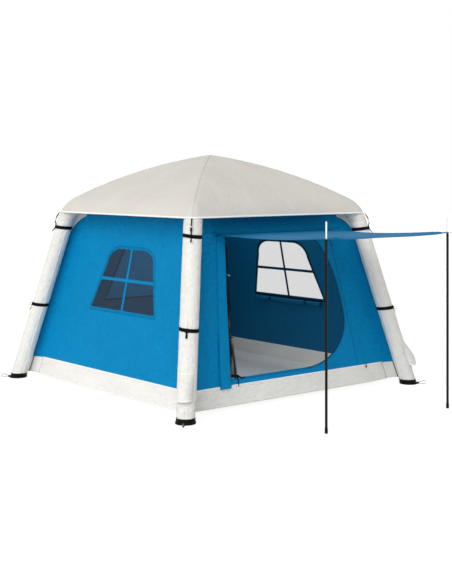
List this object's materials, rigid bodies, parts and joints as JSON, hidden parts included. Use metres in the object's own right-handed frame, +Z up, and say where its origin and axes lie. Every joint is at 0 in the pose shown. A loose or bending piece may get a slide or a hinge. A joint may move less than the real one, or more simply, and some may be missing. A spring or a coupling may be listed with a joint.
{
  "type": "inflatable tent",
  "caption": "Square inflatable tent with crossing air beams in sleeves, mesh windows, a bathtub floor and a door panel held out on poles as an awning",
  "frame": {"origin": "on the ground at the middle of the floor's flat underside", "axes": "+Z up, -Y towards the door, +X right seen from outside the door; the span with the awning lies along Y"},
  "size_m": [3.0502, 3.9631, 2.2709],
  "materials": {
    "roof_cloth": "warm pale grey coated polyester, plain weave, matt",
    "blue_cloth": "bright blue coated polyester, plain weave, matt",
    "white_cloth": "off-white coated polyester sleeve, taut and slightly satin",
    "sheet_cloth": "pale grey coated woven groundsheet, slightly satin",
    "dark_mesh": "fine dark insect mesh",
    "black_webbing": "black woven polypropylene webbing",
    "black_plastic": "black moulded plastic, fine grain",
    "black_steel": "black powder coat",
    "bright_steel": "bright turned steel",
    "beam_film": "translucent soft film bladder"
  },
  "bodies": {
    "tent": {"air_beam_a": "beam_film", "air_beam_b": "beam_film", "ceiling_mesh": "dark_mesh", "foot_cap_back_left": "black_plastic", "foot_cap_back_right": "black_plastic", "foot_cap_front_left": "black_plastic", "foot_cap_front_right": "black_plastic", "ground_sheet": "sheet_cloth", "leg_sleeve_back_left": "white_cloth", "leg_sleeve_back_right": "white_cloth", "leg_sleeve_front_left": "white_cloth", "leg_sleeve_front_right": "white_cloth", "mesh_door_roll": "dark_mesh", "rafter_sleeve_back_left": "white_cloth", "rafter_sleeve_back_right": "white_cloth", "rafter_sleeve_front_left": "white_cloth", "rafter_sleeve_front_right": "white_cloth", "roof_fly": "roof_cloth", "roof_tie_back_left": "black_webbing", "roof_tie_back_right": "black_webbing", "roof_tie_front_left": "black_webbing", "roof_tie_front_right": "black_webbing", "storm_flap": "blue_cloth", "strap_lower_back_left": "black_webbing", "strap_lower_back_right": "black_webbing", "strap_lower_front_left": "black_webbing", "strap_lower_front_right": "black_webbing", "strap_upper_back_left": "black_webbing", "strap_upper_back_right": "black_webbing", "strap_upper_front_left": "black_webbing", "strap_upper_front_right": "black_webbing", "valve_front_left": "black_plastic", "valve_front_right": "black_plastic", "wall_back": "blue_cloth", "wall_front": "blue_cloth", "wall_left": "blue_cloth", "wall_right": "blue_cloth", "window_blind_back": "blue_cloth", "window_blind_left": "blue_cloth", "window_blind_right": "blue_cloth", "window_mesh_back": "dark_mesh", "window_mesh_left": "dark_mesh", "window_mesh_right": "dark_mesh"},
    "awning_panel": {"awning": "blue_cloth"},
    "pole_left": {"pole_tube_left": "black_steel", "pole_spike_left": "bright_steel"},
    "zip_left": {"zip_slider_left": "black_plastic"},
    "cap_left": {"valve_cap_front_left": "black_plastic"},
    "hood_left": {"valve_hood_front_left": "white_cloth"},
    "pole_right": {"pole_tube_right": "black_steel", "pole_spike_right": "bright_steel"},
    "zip_right": {"zip_slider_right": "black_plastic"},
    "cap_right": {"valve_cap_front_right": "black_plastic"},
    "hood_right": {"valve_hood_front_right": "white_cloth"},
    "loop_front_left": {"peg_loop_front_left": "black_webbing"},
    "loop_front_right": {"peg_loop_front_right": "black_webbing"},
    "loop_back_left": {"peg_loop_back_left": "black_webbing"},
    "loop_back_right": {"peg_loop_back_right": "black_webbing"}
  },
  "joints": [
    {"name": "awning_lift", "type": "hinge", "parent": "tent", "child": "awning_panel", "pos_m": [0, -0.9329, 1.5], "axis": [-1, 0, 0], "range_deg": [0, 30]},
    {"name": "pole_left_swing", "type": "hinge", "parent": "awning_panel", "child": "pole_left", "pos_m": [-0.757, -2.408, 1.55876], "axis": [1, 0, 0], "range_deg": [-5, 5]},
    {"name": "pole_right_swing", "type": "hinge", "parent": "awning_panel", "child": "pole_right", "pos_m": [0.757, -2.408, 1.55876], "axis": [1, 0, 0], "range_deg": [-5, 5]},
    {"name": "zip_left_slide", "type": "slide", "parent": "tent", "child": "zip_left", "axis": [-0.1259, -0.2126, -0.969], "range_m": [-0.04, 1.12]},
    {"name": "zip_right_slide", "type": "slide", "parent": "tent", "child": "zip_right", "axis": [0.0906, -0.2134, -0.9728], "range_m": [-0.04, 1.12]},
    {"name": "cap_left_turn", "type": "hinge", "parent": "tent", "child": "cap_left", "pos_m": [-1.39577, -1.39577, 0.29], "axis": [-0.6753, -0.6753, 0.2963], "continuous": true},
    {"name": "hood_left_lift", "type": "hinge", "parent": "tent", "child": "hood_left", "pos_m": [-1.35026, -1.35026, 0.41], "axis": [-0.7071, 0.7071, 0], "range_deg": [0, 35]},
    {"name": "cap_right_turn", "type": "hinge", "parent": "tent", "child": "cap_right", "pos_m": [1.39577, -1.39577, 0.29], "axis": [0.6753, -0.6753, 0.2963], "continuous": true},
    {"name": "hood_right_lift", "type": "hinge", "parent": "tent", "child": "hood_right", "pos_m": [1.35026, -1.35026, 0.41], "axis": [-0.7071, -0.7071, 0], "range_deg": [0, 35]},
    {"name": "loop_front_left_lift", "type": "hinge", "parent": "tent", "child": "loop_front_left", "pos_m": [-1.46753, -1.46753, 0.008], "axis": [-0.7071, 0.7071, 0], "range_deg": [0, 70]},
    {"name": "loop_front_right_lift", "type": "hinge", "parent": "tent", "child": "loop_front_right", "pos_m": [1.46753, -1.46753, 0.008], "axis": [-0.7071, -0.7071, 0], "range_deg": [0, 70]},
    {"name": "loop_back_left_lift", "type": "hinge", "parent": "tent", "child": "loop_back_left", "pos_m": [-1.46753, 1.46753, 0.008], "axis": [0.7071, 0.7071, 0], "range_deg": [0, 70]},
    {"name": "loop_back_right_lift", "type": "hinge", "parent": "tent", "child": "loop_back_right", "pos_m": [1.46753, 1.46753, 0.008], "axis": [0.7071, -0.7071, 0], "range_deg": [0, 70]}
  ]
}
